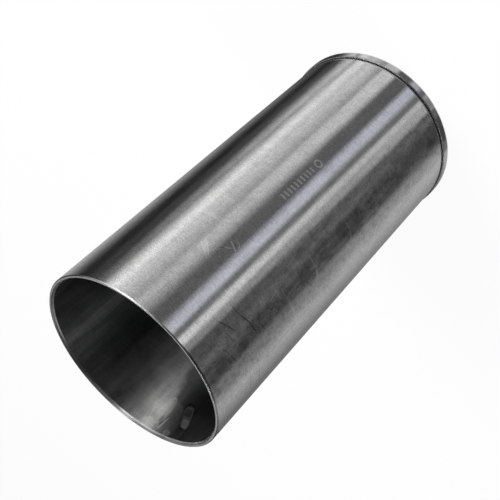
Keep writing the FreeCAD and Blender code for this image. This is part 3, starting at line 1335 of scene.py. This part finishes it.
    def section(self) -> tuple[np.ndarray, np.ndarray]:
        """Trace the closed wall section.

        Each stretch between two arcs is divided so that a step of 0.05 mm follows and leads
        each arc, which keeps the shading of the broad faces true up to their edges.

        Returns:
            The points in metres, as radius and height, and the zone number of the step that
            leads on from each.
        """
        corners = self.corners()
        places = np.array([[c.radius, c.height] for c in corners])
        count = len(corners)
        arcs = [self._arc(places[i - 1], places[i], places[(i + 1) % count], corners[i].rounding)
                for i in range(count)]
        points, zones = [], []
        for i, corner in enumerate(corners):
            leaves, meets = arcs[i][-1], arcs[(i + 1) % count][0]
            span = float(np.linalg.norm(meets - leaves))
            guard = min(0.05, span / 4.0) / span
            shares = np.concatenate([[guard], np.linspace(0.0, 1.0, corner.steps + 1)[1:-1],
                                     [1.0 - guard]])
            shares = np.unique(np.clip(shares, guard, 1.0 - guard))
            stretch = leaves + shares[:, None] * (meets - leaves)
            points += [arcs[i], stretch]
            zones.append(np.full(len(arcs[i]) + len(stretch), corner.zone.value))
        return np.concatenate(points) / 1000.0, np.concatenate(zones)

    def mesh(self) -> bpy.types.Mesh:
        """Carry the section round the axis.

        A section point of radius r and height z, at the angle a, is at r cos a, r sin a and z.
        U goes once round, and V follows the section's length.

        Returns:
            The mesh, with a material index for each zone.
        """
        section, zones = self.section()
        rows, columns = len(section), self.round_steps
        angles = np.linspace(0.0, 2.0 * math.pi, columns, endpoint=False)
        grid = np.empty((rows, columns, 3))
        grid[..., 0] = section[:, :1] * np.cos(angles)
        grid[..., 1] = section[:, :1] * np.sin(angles)
        grid[..., 2] = section[:, 1:]

        row, column = np.meshgrid(np.arange(rows), np.arange(columns), indexing="ij")
        next_row, next_column = (row + 1) % rows, (column + 1) % columns
        faces = np.stack([row * columns + column, row * columns + next_column,
                          next_row * columns + next_column, next_row * columns + column],
                         axis=-1).reshape(-1, 4)
        steps = np.linalg.norm(np.roll(section, -1, axis=0) - section, axis=1)
        v_start = (np.cumsum(steps) - steps)[row] / steps.sum()
        v_end = np.cumsum(steps)[row] / steps.sum()
        u_start, u_end = column / columns, (column + 1) / columns
        uv = np.stack([u_start, v_start, u_end, v_start, u_end, v_end, u_start, v_end],
                      axis=-1).reshape(-1)

        mesh = bpy.data.meshes.new("liner_body")
        mesh.vertices.add(rows * columns)
        mesh.vertices.foreach_set("co", grid.reshape(-1))
        mesh.loops.add(faces.size)
        mesh.loops.foreach_set("vertex_index", faces.reshape(-1))
        mesh.polygons.add(len(faces))
        mesh.polygons.foreach_set("loop_start", np.arange(0, faces.size, 4))
        mesh.polygons.foreach_set("material_index", np.repeat(zones, columns))
        mesh.polygons.foreach_set("use_smooth", np.ones(len(faces), dtype=bool))
        mesh.uv_layers.new(name="liner_uv").data.foreach_set("uv", uv)
        mesh.update(calc_edges=True)
        mesh.validate()
        return mesh

    @staticmethod
    def finishes() -> dict[Zone, Union[GroundBarrel, HonedBore, TurnedFinish]]:
        """Choose each zone's finish.

        Returns:
            The finish of every zone.
        """
        turned = {
            Zone.HEAD_FACE: TurnedFinish(
                "head_face", IRON, DULL_IRON, dirt=0.4, sheen=0.40, depth=4e-6, pitch=0.30),
            Zone.FLANGE_RIM: TurnedFinish(
                "flange_rim", even(0.56), DULL_IRON, dirt=0.4, sheen=0.27, depth=1.5e-6,
                pitch=0.35, drawn=0.6, stains=FLANGE_STAINS_AND_SHADE),
            # The seat face is painted darker than the iron as shade at the barrel's foot
            Zone.SEAT_FACE: TurnedFinish(
                "seat_face", even(0.34), even(0.10), dirt=0.5, sheen=0.40, depth=3e-6, drawn=0.0),
            # The undercut is painted near black as the groove's shade
            Zone.UNDERCUT: TurnedFinish(
                "undercut_iron", even(0.05), even(0.03), dirt=0.6, sheen=0.60, depth=1e-6,
                drawn=0.0),
            # The run-out is painted paler than the iron: painted light against the shade beside
            # the seat
            Zone.RUN_OUT: TurnedFinish(
                "run_out_iron", even(0.86), IRON, dirt=0.2, sheen=0.42, depth=0.0),
            Zone.TAIL_CHAMFER: TurnedFinish(
                "tail_chamfer", even(0.21), DULL_IRON, dirt=0.2, sheen=0.35, depth=1.5e-6,
                drawn=0.3, stains=EDGE_STAINS_AND_SHADE),
            Zone.TAIL_FACE: TurnedFinish(
                "tail_face", even(0.44), IRON, dirt=0.3, sheen=0.24, depth=1.5e-6, drawn=0.0,
                stains=FACE_STAINS_AND_SHADE),
            Zone.LEAD_IN: TurnedFinish(
                "lead_in", even(0.64), IRON, dirt=0.2, sheen=0.34, depth=1.5e-6, drawn=0.2,
                stains=MOUTH_STAINS_AND_SHADE),
            # The lip is painted near white: rubbed metal with a painted highlight
            Zone.MOUTH_LIP: TurnedFinish(
                "mouth_lip", even(0.95), IRON, dirt=0.1, sheen=0.34, depth=1e-6, drawn=0.2,
                stains=LIP_STAINS_AND_SHADE),
        }
        return {**turned, Zone.BARREL: GroundBarrel(), Zone.BORE: HonedBore()}

    def build(self, effects: SharedEffects) -> bpy.types.Object:
        """Make the piece, dress each zone and put it in the CAD node's place.

        Args:
            effects: The shared node groups.

        Returns:
            The piece.
        """
        mesh = self.mesh()
        finishes = self.finishes()
        for zone in Zone:
            mesh.materials.append(finishes[zone].build(effects))
        body = bpy.data.objects.new("liner_body", mesh)
        bpy.context.collection.objects.link(body)
        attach(body, "root")
        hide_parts("liner")
        return body


@dataclass(frozen=True)
class PhotoCamera:
    """The photograph's camera: level ahead along +Y, tipped down and turned on its own axis.

    Attributes:
        eye: Where it stands.
        down: How far it looks down, in degrees.
        roll: How far it is turned on its own axis, in degrees.
        focal_pixels: Its focal length, in the photograph's pixels.
        picture_pixels: The photograph's width, in pixels.
        sensor: The width of its film, in millimetres.
    """

    eye: tuple[float, float, float] = (-0.0008, -0.3729, 0.3856)
    down: float = 34.84
    roll: float = -134.31
    focal_pixels: float = 853.9
    picture_pixels: float = 500.0
    sensor: float = 36.0

    def build(self) -> bpy.types.Object:
        """Make the camera and give it to the scene.

        Returns:
            The camera.
        """
        data = bpy.data.cameras.new("photo_camera")
        data.sensor_width = self.sensor
        data.lens = self.focal_pixels * self.sensor / self.picture_pixels
        data.clip_start = 0.01
        camera = bpy.data.objects.new("photo_camera", data)
        bpy.context.collection.objects.link(camera)
        camera.matrix_world = (Matrix.Translation(self.eye)
                               @ Matrix.Rotation(math.radians(90.0 - self.down), 4, "X")
                               @ Matrix.Rotation(math.radians(self.roll), 4, "Z"))
        bpy.context.scene.camera = camera
        return camera


# The casts that a strip can have
COOL: Colour = (0.965, 0.98, 1.10)
WARM: Colour = (1.005, 1.0, 0.985)
PLAIN: Colour = (1.0, 1.0, 1.0)


@dataclass(frozen=True)
class Strip:
    """One board or lit strip of the card, by what the barrel shows of it.

    Attributes:
        head: Where it starts and ends at the barrel's head end, in degrees round the barrel.
        tail: The same at the barrel's tail end.
        levels: The screen levels that it gives the head end and the tail end.
        tint: Its colour cast.
    """

    head: tuple[float, float]
    tail: tuple[float, float]
    levels: tuple[float, float]
    tint: Colour = PLAIN


# Boards and lit strips that the polished barrel mirrors, set to suit the photo's bands
CARD_STRIPS = (
    Strip((-90.0, -82.0), (-90.0, -84.0), (20.0, 150.0)),
    Strip((-74.0, -70.0), (-75.0, -71.0), (56.0, 140.0)),
    Strip((-63.0, -61.5), (-57.5, -52.0), (26.0, 34.0)),
    Strip((-57.5, -54.0), (-49.0, -45.0), (62.0, 54.0)),
    Strip((-46.8, -45.4), (-43.0, -42.0), (188.0, 80.0)),
    Strip((-43.6, -43.0), (-41.0, -40.4), (132.0, 98.0)),
    Strip((-40.2, -37.4), (-34.0, -32.2), (204.0, 218.0), WARM),
    Strip((-34.6, -33.4), (-30.0, -28.0), (174.0, 186.0)),
    Strip((-32.0, -30.8), (-27.4, -26.4), (186.0, 176.0)),
    Strip((-24.4, -23.2), (-22.0, -20.2), (138.0, 150.0)),
    Strip((-22.2, -15.0), (-19.0, -17.0), (186.0, 166.0)),
    Strip((-12.4, -4.8), (-9.4, -3.8), (84.0, 82.0)),
    Strip((-1.8, 1.8), (0.2, 2.6), (170.0, 176.0), COOL),
    Strip((5.2, 7.4), (4.4, 6.2), (98.0, 98.0)),
    Strip((9.0, 10.8), (7.8, 10.2), (162.0, 190.0), WARM),
    Strip((12.2, 16.6), (11.8, 14.0), (152.0, 122.0)),
    Strip((18.2, 19.6), (15.6, 22.6), (86.0, 70.0)),
    Strip((20.6, 22.0), (24.2, 25.6), (92.0, 94.0)),
    Strip((25.0, 39.4), (28.6, 35.6), (60.0, 60.0)),
    Strip((42.2, 45.0), (39.2, 43.0), (138.0, 98.0)),
    Strip((51.0, 55.0), (50.5, 54.0), (160.0, 146.0)),
    Strip((69.0, 74.0), (68.0, 75.0), (122.0, 90.0)),
    Strip((84.0, 90.0), (84.0, 90.0), (80.0, 44.0)),
)


def grid_mesh(name: str, points: np.ndarray) -> bpy.types.Mesh:
    """Join a grid of points into a sheet of four-sided faces.

    The face at row i and column j has the corners (i, j), (i, j + 1), (i + 1, j + 1) and
    (i + 1, j).

    Args:
        name: The mesh's name.
        points: The points, by row, column and coordinate.

    Returns:
        The mesh.
    """
    rows, columns = points.shape[:2]
    row, column = np.meshgrid(np.arange(rows - 1), np.arange(columns - 1), indexing="ij")
    first = row * columns + column
    faces = np.stack([first, first + 1, first + columns + 1, first + columns], axis=-1)
    mesh = bpy.data.meshes.new(name)
    mesh.from_pydata(points.reshape(-1, 3).tolist(), [], faces.reshape(-1, 4).tolist())
    return mesh


def stand(mesh: bpy.types.Mesh, surface: Surface) -> bpy.types.Object:
    """Put a dressed sheet on the set, where it is no part of the liner.

    Args:
        mesh: The sheet.
        surface: Its material.

    Returns:
        The sheet's object.
    """
    mesh.materials.append(surface.material)
    sheet = bpy.data.objects.new(mesh.name, mesh)
    bpy.context.collection.objects.link(sheet)
    return sheet


@dataclass(frozen=True)
class ReflectionCard:
    """A toned card on the floor round the liner, which only mirroring metal meets.

    Attributes:
        camera: The camera whose mirrored sight lines it follows.
        half_angle: How far round the barrel it goes to each side, in degrees.
        clearance: The gap between it and the barrel.
        reach: How far it goes out.
        lift: How far it lies above the floor.
        mirror: The share of light that the barrel gives back.
    """

    camera: PhotoCamera
    half_angle: float = 88.0
    clearance: float = 0.0012
    reach: float = 2.9
    lift: float = 0.0008
    mirror: float = 0.56

    def _glow(self, degrees: np.ndarray, out: np.ndarray) -> np.ndarray:
        """Work out the card's light.

        A point at the distance s along a mirrored sight line is seen at the height h s over
        s + d on the barrel, with h the camera's height and d its distance from the barrel. That
        height's share of the liner moves each strip of the card from its head place and level to
        its tail ones. Between two strips the light goes straight from one to the other.

        Args:
            degrees: The angles round the barrel.
            out: The distances along the sight lines.

        Returns:
            Linear colours, by distance, angle and channel.
        """
        gap = -self.camera.eye[1] - BARREL_SKIN
        low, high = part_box("liner")
        seen = self.camera.eye[2] * out / (out + gap)
        shares = np.clip(seen / (high[2] - low[2]), 0.0, 1.0)
        head = np.array([strip.head for strip in CARD_STRIPS]).reshape(-1)
        tail = np.array([strip.tail for strip in CARD_STRIPS]).reshape(-1)
        head_light, tail_light = (
            np.repeat([grey(strip.levels[end], strip.tint) for strip in CARD_STRIPS], 2, axis=0)
            for end in (0, 1))
        rows = []
        for share in shares:
            angles = head + (tail - head) * share
            light = head_light + (tail_light - head_light) * share
            rows.append(np.stack([np.interp(degrees, angles, light[:, channel])
                                  for channel in range(3)], axis=-1))
        return np.stack(rows) / self.mirror

    def _surface(self, columns: int = 529, rows: int = 48) -> tuple[np.ndarray, np.ndarray]:
        """Lay the card's grid along the mirrored sight lines.

        The sight line to the barrel at the angle a has the level direction D from the eye to the
        surface, whose normal N is minus sin a, minus cos a. It leaves along D less twice the dot
        product of D and N times N.

        Args:
            columns: How many angles the grid has.
            rows: How many distances it has.

        Returns:
            The points and their colours, by distance and angle.
        """
        degrees = np.linspace(-self.half_angle, self.half_angle, columns)
        angles = np.radians(degrees)
        normal = np.stack([-np.sin(angles), -np.cos(angles)], axis=-1)
        start = normal * (BARREL_SKIN + self.clearance)
        sight = start - np.array([0.0, self.camera.eye[1]])
        mirrored = sight - 2.0 * (sight * normal).sum(axis=1, keepdims=True) * normal
        mirrored /= np.linalg.norm(mirrored, axis=1, keepdims=True)
        out = np.linspace(0.0, 1.0, rows) ** 2 * self.reach
        points = np.empty((rows, columns, 3))
        points[..., :2] = start + out[:, None, None] * mirrored
        points[..., 2] = self.lift
        return points, self._glow(degrees, out)

    def build(self) -> bpy.types.Object:
        """Make the card, which the camera, the shadows and the soft light all miss.

        Returns:
            The card.
        """
        points, glow = self._surface()
        mesh = grid_mesh("reflection_card", points)
        light = np.ones((len(mesh.vertices), 4))
        light[:, :3] = glow.reshape(-1, 3)
        layer = mesh.attributes.new("glow", "FLOAT_COLOR", "POINT")
        layer.data.foreach_set("color", light.reshape(-1))

        lit = Surface("card_light")
        glowing = lit.wires.node("ShaderNodeEmission")
        stored = lit.wires.node("ShaderNodeAttribute", attribute_name="glow")
        lit.wires.feed(glowing.inputs["Color"], stored.outputs["Color"])
        lit.wires.feed(lit.output, glowing.outputs[0])

        card = stand(mesh, lit)
        card.visible_camera = False
        card.visible_diffuse = False
        card.visible_transmission = False
        card.visible_volume_scatter = False
        card.visible_shadow = False
        return card


@dataclass(frozen=True)
class SoftLamp:
    """One soft lamp of the studio.

    Attributes:
        name: Its name.
        place: Where it hangs.
        width: Its size from side to side.
        height: Its size up and down.
        watts: Its power.
        aim: The point that it faces.
    """

    name: str
    place: tuple[float, float, float]
    width: float
    height: float
    watts: float
    aim: tuple[float, float, float] = (0.0, 0.0, 0.1)

    def build(self) -> bpy.types.Object:
        """Hang the lamp, with its face to its aim.

        Returns:
            The lamp.
        """
        data = bpy.data.lights.new(self.name, "AREA")
        data.shape = "RECTANGLE"
        data.size = self.width
        data.size_y = self.height
        data.energy = self.watts
        lamp = bpy.data.objects.new(self.name, data)
        bpy.context.collection.objects.link(lamp)
        facing = (Vector(self.place) - Vector(self.aim)).to_track_quat("Z", "Y")
        lamp.matrix_world = Matrix.Translation(self.place) @ facing.to_matrix().to_4x4()
        return lamp


@dataclass(frozen=True)
class Studio:
    """The floor, the world and the lamps round the liner.

    Attributes:
        floor_half: Half the floor's width.
        floor_colour: The floor's colour.
        floor_white: How much of the floor shows white to the camera and to mirrors. The rest is
            its own light and shadow.
        sky_white: The world's level behind the set.
        soft_level: The world's level as soft light.
        wall_foot: The back wall's level at its foot, which only mirrors meet.
        wall_top: The same at its top.
        room_low: The level of the room behind the camera near the floor, which only mirrors meet.
        room_high: The same overhead.
        lamps: The key lamp and the fill lamp.
    """

    floor_half: float = 3.0
    floor_colour: Colour = even(0.90)
    floor_white: float = 0.93
    sky_white: float = 1.0
    soft_level: float = 0.32
    wall_foot: float = 0.09
    wall_top: float = 0.92
    room_low: float = 0.16
    room_high: float = 0.06
    lamps: tuple[SoftLamp, ...] = (
        SoftLamp("key_softbox", (0.82, -0.27, 1.30), 0.50, 1.10, 18.0),
        SoftLamp("fill_softbox", (-0.85, 0.15, 1.30), 0.25, 0.50, 5.0))

    def floor(self) -> bpy.types.Object:
        """Lay the floor. It shows white, and keeps a share of its own light and shadow.

        Inside the liner it keeps all of its own light, so that the bore stays as dark as it is.
        Its points are an even grid over X and Y.

        Returns:
            The floor.
        """
        steps = np.linspace(-self.floor_half, self.floor_half, 9)
        x, y = np.meshgrid(steps, steps)
        mesh = grid_mesh("studio_floor", np.stack([x, y, np.full_like(x, -0.0002)], axis=-1))

        sheet = Surface("floor_paper")
        wires = sheet.wires
        paper = wires.node("ShaderNodeBsdfDiffuse")
        paper.inputs["Color"].default_value = (*self.floor_colour, 1.0)
        white = wires.node("ShaderNodeEmission")
        white.inputs["Strength"].default_value = 1.0
        path = wires.node("ShaderNodeLightPath")
        seen = wires.math("MAXIMUM", path.outputs["Is Camera Ray"], path.outputs["Is Glossy Ray"])
        split = wires.node("ShaderNodeSeparateXYZ")
        wires.feed(split.inputs[0], wires.node("ShaderNodeTexCoord").outputs["Object"])
        distance = wires.vector("LENGTH", wires.point(split.outputs[0], split.outputs[1]))
        outside = wires.math("GREATER_THAN", distance, BARREL_SKIN)
        mixed = wires.node("ShaderNodeMixShader")
        wires.feed(mixed.inputs[0], wires.product(seen, outside, self.floor_white))
        wires.feed(mixed.inputs[1], paper.outputs[0])
        wires.feed(mixed.inputs[2], white.outputs[0])
        wires.feed(sheet.output, mixed.outputs[0])
        return stand(mesh, sheet)

    def world(self) -> bpy.types.World:
        """Surround the set with a pale world.

        It is white behind the set and even for soft light. Mirrors meet a back wall that
        brightens upwards along +Y, and a dim room behind the camera.

        Returns:
            The world.
        """
        world = bpy.data.worlds.new("studio_world")
        world.use_nodes = True
        world.node_tree.nodes.clear()
        wires = Wiring(world.node_tree)
        split = wires.node("ShaderNodeSeparateXYZ")
        wires.feed(split.inputs[0], wires.node("ShaderNodeTexCoord").outputs["Generated"])
        wall = wires.ramp(split.outputs[2], 0.34, 0.53, self.wall_foot, self.wall_top)
        room = wires.ramp(split.outputs[2], 0.0, 0.9, self.room_low, self.room_high)
        mirrored = wires.mix(wires.ramp(split.outputs[1], -0.1, 0.5), room, wall)
        path = wires.node("ShaderNodeLightPath")
        level = wires.eased(self.soft_level, (path.outputs["Is Glossy Ray"], mirrored),
                            (path.outputs["Is Camera Ray"], self.sky_white))
        sky = wires.node("ShaderNodeBackground")
        sky.inputs["Color"].default_value = (1.0, 1.0, 1.0, 1.0)
        wires.feed(sky.inputs["Strength"], level)
        output = wires.node("ShaderNodeOutputWorld")
        wires.feed(output.inputs["Surface"], sky.outputs[0])
        bpy.context.scene.world = world
        return world

    def build(self) -> list[bpy.types.Object]:
        """Make the floor, the world and both lamps.

        Returns:
            The floor and the lamps.
        """
        self.world()
        return [self.floor(), *(lamp.build() for lamp in self.lamps)]


def main() -> None:
    """Build the liner and its set."""
    logging.basicConfig(level=logging.INFO, format="%(name)s: %(message)s")
    scene = bpy.context.scene
    scene.view_settings.view_transform = "Standard"
    effects = SharedEffects()
    liner = Liner()
    body = liner.build(effects)
    LOG.info("%s: %d faces, %.1f mm long", body.name, len(body.data.polygons), liner.length)
    camera = PhotoCamera()
    for made in (*Studio().build(), ReflectionCard(camera).build(), camera.build()):
        LOG.info("set: %s", made.name)


if __name__ == "__main__":
    main()
